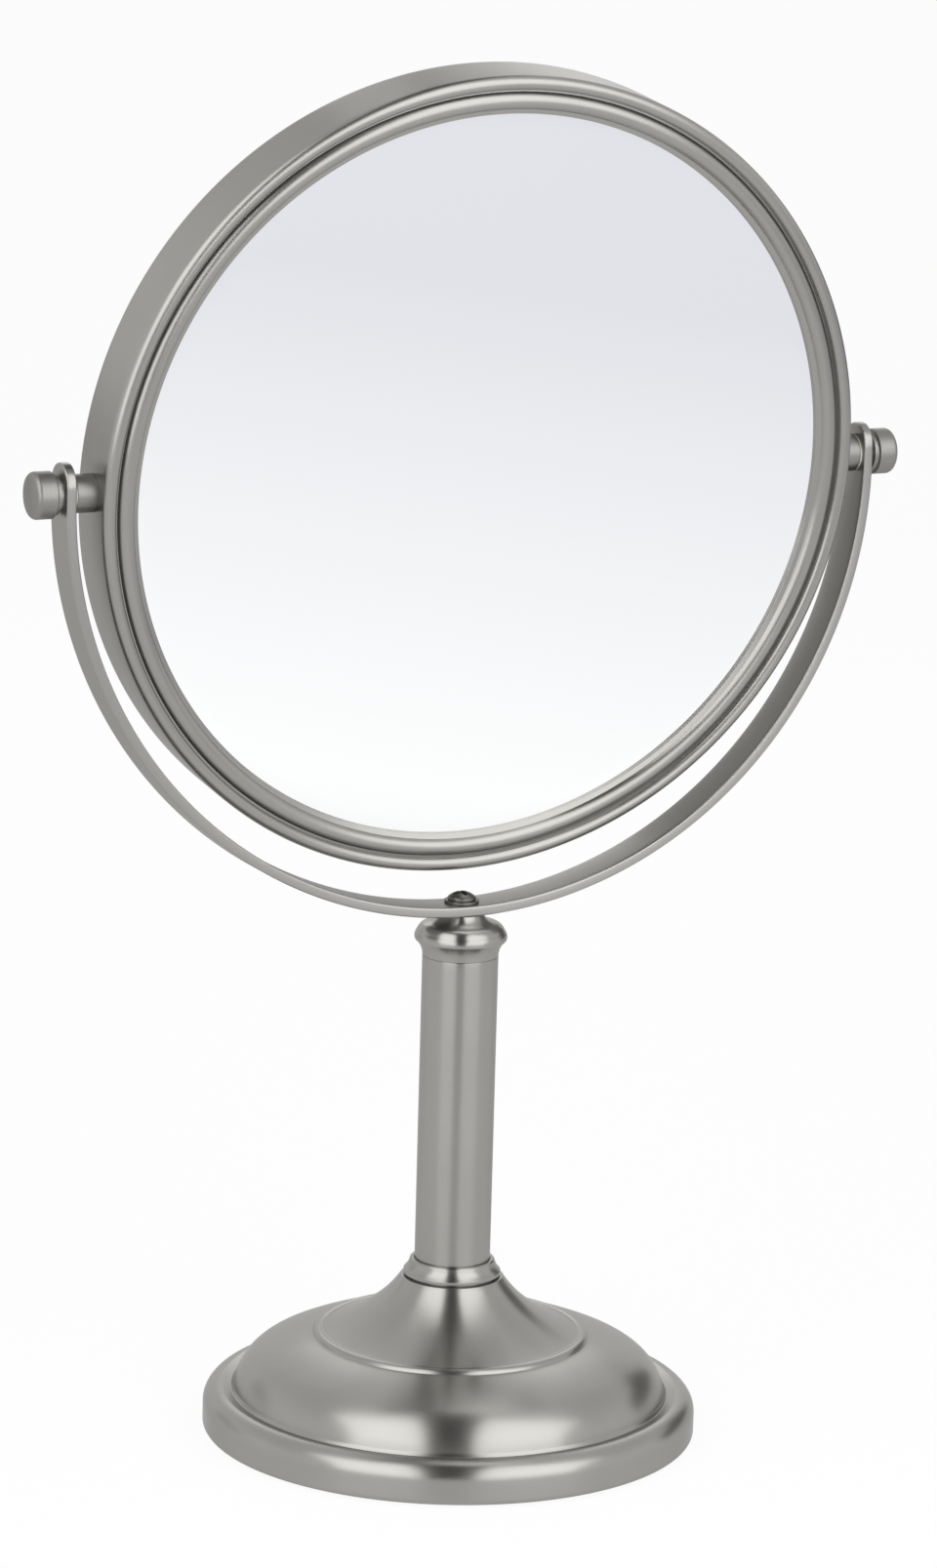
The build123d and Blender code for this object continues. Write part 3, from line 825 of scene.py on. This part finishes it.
spacer_radius = 5.2 * mm
stud_bore = 2.06 * mm
knob_radius = 6.4 * mm
knob_foot_radius = 5.5 * mm
knob_foot_length = 1.1 * mm
knob_chamfer = 1.4 * mm
knob_crown = 0.7 * mm
knob_end_wall = 1.8 * mm
spacer_columns = 96
knob_columns = 128
# The spacers and knobs get a darker copy of the nickel colour: painted shade, which tones down the bright
# light walls that they face.
shaded_nickel_fittings = worked(
    "satin_nickel_with_painted_shade",
    {
        **nickel_marks, "Shade": (0.25, 0.245, 0.232, 1), "Light": (0.285, 0.28, 0.266, 1),
        "Smooth": 0.4, "Rough": 0.46,
    },
    nickel_metal, True,
)
nylon = worked(
    "natural_nylon",
    {
        "Stretch": (1200, 1200, 1200), "Patch Scale": 300, "Shade": (0.6, 0.59, 0.52, 1),
        "Light": (0.68, 0.67, 0.6, 1), "Smooth": 0.35, "Rough": 0.5, "Relief": 0.00002,
    },
    {"Subsurface Weight": 0.1, "Subsurface Radius": (0.001, 0.001, 0.0008)},
    False,
)
side_axes = {
    "right": np.array([head_axes[1], head_axes[2], head_axes[0]]),
    "left": np.array([head_axes[2], head_axes[1], -head_axes[0]]),
}
for side, axes in side_axes.items():
    for node in ("pivot_stud", "stud_nut", "stud_washer", "spring_washer"):
        finish_node(f"{side}_{node}", zinc_plate)
    finish_node(f"{side}_friction_washer", nylon)
    knob_level, knob_end = sorted(abs(corner.x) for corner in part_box(f"{side}_pivot_knob"))
    spacer_foot, spacer_end = sorted(abs(corner.x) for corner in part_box(f"{side}_pivot_spacer"))
    spacer_line = np.array([
        (stud_bore, spacer_foot), (spacer_radius, spacer_foot),
        (spacer_radius, spacer_end), (stud_bore, spacer_end),
    ])
    spacer_outline = eased(spacer_line, plated_edge, True)
    spacer = turned(f"{side}_turned_spacer", spacer_outline, fine_step, spacer_columns, axes, head_origin)
    knob_line = np.vstack([
        [
            (0, knob_end - knob_end_wall), (stud_bore, knob_end - knob_end_wall), (stud_bore, knob_level),
            (knob_foot_radius, knob_level), (knob_foot_radius, knob_level + knob_foot_length),
            (knob_radius, knob_level + knob_foot_length + knob_chamfer / 4),
        ],
        bow(
            (knob_radius, knob_end - knob_crown - knob_chamfer),
            (knob_radius - knob_chamfer, knob_end - knob_crown), knob_chamfer / 4,
        ),
        bow((knob_radius - knob_chamfer, knob_end - knob_crown), (0, knob_end), knob_crown / 4),
    ])
    knob_line = eased(knob_line, plated_edge, False)
    knob_line[[0, -1], 0] = 0
    knob = turned(f"{side}_turned_knob", knob_line, fine_step, knob_columns, axes, head_origin, False)
    fittings = ((spacer, "mirror_head", "pivot_spacer"), (knob, f"{side}_knob", "pivot_knob"))
    for piece, body, node in fittings:
        piece.data.materials.append(shaded_nickel_fittings)
        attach(piece, body)
        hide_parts(f"{side}_{node}")

# Camera: it stands in front and to the left of the mirror, a little above the middle of it, and is
# turned a touch about its own line of sight.

view_turn = math.radians(25.684)
view_rise = math.radians(12.563)
view_roll = math.radians(1.549)
view_distance = 1.673
view_focus = 6221
photo_height = 1607
view_target_side = 0.99 * mm
view_target_height = 186.0 * mm
back = np.array([
    -math.sin(view_turn) * math.cos(view_rise),
    -math.cos(view_turn) * math.cos(view_rise),
    math.sin(view_rise),
])
level = np.cross((0, 0, 1), back)
level /= np.linalg.norm(level)
upward = np.cross(back, level)
right = math.cos(view_roll) * level + math.sin(view_roll) * upward
up = math.cos(view_roll) * upward - math.sin(view_roll) * level
eye = view_target_side * level + (0, 0, view_target_height) + view_distance * back
lens = bpy.data.cameras.new("camera")
lens.sensor_fit = "AUTO"
lens.sensor_width = 36
lens.lens = view_focus * lens.sensor_width / photo_height
lens.clip_start = 0.05
lens.clip_end = 50
camera = bpy.data.objects.new("camera", lens)
camera.matrix_world = Matrix([*np.stack([right, up, back, eye], axis=1), (0, 0, 0, 1)])
bpy.context.scene.collection.objects.link(camera)
bpy.context.scene.camera = camera
bpy.context.scene.view_settings.view_transform = "Standard"

# Floor: a matt white sheet under the mirror. What is seen of it directly is plain white, and what the
# metal and glass show of it changes in tone from the mirror towards the camera.


def seen_rays(tree):
    """A value that is 1 for what is seen directly, in a reflection or through glass, and 0 for soft light."""
    path = tree.nodes.new("ShaderNodeLightPath")
    first = tree.nodes.new("ShaderNodeMath")
    first.operation = "MAXIMUM"
    wire(tree, (path, "Is Camera Ray"), (first, 0))
    wire(tree, (path, "Is Glossy Ray"), (first, 1))
    second = tree.nodes.new("ShaderNodeMath")
    second.operation = "MAXIMUM"
    wire(tree, (first, 0), (second, 0))
    wire(tree, (path, "Is Transmission Ray"), (second, 1))
    return second


floor_half = 8.0
floor_level = -0.1 * mm
floor_glow = 0.93
floor_paint_white = (0.9, 0.9, 0.9, 1)
tone_way = (0.464, -0.886, 0)
tones = (
    (0.25, (0.93, 0.93, 0.93, 1)),
    (0.4, (1.03, 1.03, 1.03, 1)),
    (0.92, (0.75, 0.755, 0.8, 1)),
)
floor_mesh = bpy.data.meshes.new("floor")
floor_mesh.from_pydata(
    [(x * floor_half, y * floor_half, floor_level) for x, y in square_corners],
    [], [(0, 1, 2, 3)],
)
floor = bpy.data.objects.new("floor", floor_mesh)
bpy.context.scene.collection.objects.link(floor)
floor_paint = bpy.data.materials.new("white_floor")
floor_paint.use_nodes = True
tree = floor_paint.node_tree
matt = tree.nodes["Principled BSDF"]
matt.inputs["Base Color"].default_value = floor_paint_white
matt.inputs["Roughness"].default_value = 1
matt.inputs["Specular IOR Level"].default_value = 0
path = tree.nodes.new("ShaderNodeLightPath")
spot = tree.nodes.new("ShaderNodeTexCoord")
way_out = tree.nodes.new("ShaderNodeVectorMath")
way_out.operation = "DOT_PRODUCT"
way_out.inputs[1].default_value = tone_way
wire(tree, (spot, "Object"), (way_out, 0))
ground = tree.nodes.new("ShaderNodeValToRGB")
ground.color_ramp.elements.new(0.5)
for stop, (place, tone) in zip(ground.color_ramp.elements, tones):
    stop.position = place
    stop.color = tone
wire(tree, (way_out, "Value"), (ground, "Fac"))
plain = tree.nodes.new("ShaderNodeMix")
plain.data_type = "RGBA"
plain.inputs[mix_second].default_value = (1, 1, 1, 1)
wire(tree, (path, "Is Camera Ray"), (plain, 0))
wire(tree, (ground, "Color"), (plain, mix_first))
glow = tree.nodes.new("ShaderNodeEmission")
wire(tree, (plain, mix_result), (glow, "Color"))
mixed = tree.nodes.new("ShaderNodeMixShader")
share = tree.nodes.new("ShaderNodeMath")
share.operation = "MULTIPLY"
share.inputs[1].default_value = floor_glow
wire(tree, (seen_rays(tree), 0), (share, 0))
wire(tree, (share, 0), (mixed, 0))
wire(tree, (matt, "BSDF"), (mixed, 1))
wire(tree, (glow, "Emission"), (mixed, 2))
wire(tree, (mixed, "Shader"), (tree.nodes["Material Output"], "Surface"))
floor_mesh.materials.append(floor_paint)

# Surround: soft light from all round, a touch cool. What is seen of it is white at the horizon and a
# little darker overhead.

soft_colour = (0.95, 0.975, 1, 1)
soft_strength = 0.6
sky_rise = (0.3, 0.65)
sky_strength = (1.0, 0.8)
world = bpy.data.worlds.new("white_surround")
bpy.context.scene.world = world
world.use_nodes = True
tree = world.node_tree
soft = tree.nodes["Background"]
soft.inputs["Color"].default_value = soft_colour
soft.inputs["Strength"].default_value = soft_strength
seen = tree.nodes.new("ShaderNodeBackground")
seen.inputs["Color"].default_value = (1, 1, 1, 1)
sky = tree.nodes.new("ShaderNodeTexCoord")
split = tree.nodes.new("ShaderNodeSeparateXYZ")
wire(tree, (sky, "Generated"), (split, "Vector"))
dimming = tree.nodes.new("ShaderNodeMapRange")
dimming.inputs["From Min"].default_value = sky_rise[0]
dimming.inputs["From Max"].default_value = sky_rise[1]
dimming.inputs["To Min"].default_value = sky_strength[0]
dimming.inputs["To Max"].default_value = sky_strength[1]
wire(tree, (split, "Z"), (dimming, "Value"))
wire(tree, (dimming, "Result"), (seen, "Strength"))
mixed = tree.nodes.new("ShaderNodeMixShader")
wire(tree, (seen_rays(tree), 0), (mixed, 0))
wire(tree, (soft, "Background"), (mixed, 1))
wire(tree, (seen, "Background"), (mixed, 2))
wire(tree, (mixed, "Shader"), (tree.nodes["World Output"], "Surface"))

# Light walls: curved walls of glowing cloth stand either side of the camera, and a narrow one behind.
# The dark room between the front two draws the dark line down the middle of the metal, and two darker
# flags behind shade the sides of the base.

tent_centre = np.array([0, 0, 100 * mm])
wall_radius = 1.3
flag_radius = 1.2
wall_columns = 13
wall_rows = 17
gap_left, gap_right = -10.5, 13
gap_brightness = 0.03
ahead = -np.array([math.sin(view_turn), math.cos(view_turn), 0])
aside = np.array([math.cos(view_turn), -math.sin(view_turn), 0])


def glowing(name, brightness):
    """A material that only gives off an even light."""
    made = bpy.data.materials.new(name)
    made.use_nodes = True
    shader = made.node_tree.nodes["Principled BSDF"]
    shader.inputs["Base Color"].default_value = (0, 0, 0, 1)
    shader.inputs["Specular IOR Level"].default_value = 0
    shader.inputs["Emission Color"].default_value = (1, 1, 1, 1)
    shader.inputs["Emission Strength"].default_value = brightness
    return made


def tent_wall(name, sideways, upwards, radius, brightness):
    """Part of a sphere round the object. Sideways is the angle out of the camera's upright plane, and
    upwards is the angle from the floor in that plane, each from one value to another in degrees."""
    out = np.radians(np.linspace(*sideways, wall_columns))
    over = np.radians(np.linspace(*upwards, wall_rows))
    out, over = np.meshgrid(out, over, indexing="ij")
    points = tent_centre + radius * (
        (np.cos(out) * np.cos(over))[..., None] * ahead + np.sin(out)[..., None] * aside
        + (np.cos(out) * np.sin(over))[..., None] * (0, 0, 1)
    )
    points[..., 2] = np.maximum(points[..., 2], 1 * mm)
    index = np.arange(wall_columns * wall_rows).reshape(wall_columns, wall_rows)
    faces = np.stack([index[:-1, :-1], index[1:, :-1], index[1:, 1:], index[:-1, 1:]], axis=-1)
    mesh = bpy.data.meshes.new(name)
    mesh.from_pydata(points.reshape(-1, 3), [], faces.reshape(-1, 4).tolist())
    mesh.materials.append(glowing(name, brightness))
    wall = bpy.data.objects.new(name, mesh)
    bpy.context.scene.collection.objects.link(wall)
    wall.visible_camera = False
    wall.visible_shadow = False


tent_wall("left_light_wall", (-50, gap_left), (0, 78), wall_radius, 2.4)
tent_wall("right_light_wall", (gap_right, 60), (0, 78), wall_radius, 2.4)
tent_wall("dark_gap", (gap_left, gap_right), (0, 80), flag_radius, gap_brightness)
tent_wall("dark_gap_overhead", (-6.5, 8), (80, 135), flag_radius, gap_brightness)
tent_wall("rear_light_wall", (-15, 15), (138, 161), wall_radius, 2.1)
tent_wall("right_dark_flag", (27, 62), (152, 178), flag_radius, 0.16)
tent_wall("left_dark_flag", (-72, -46), (156, 178), flag_radius, 0.65)
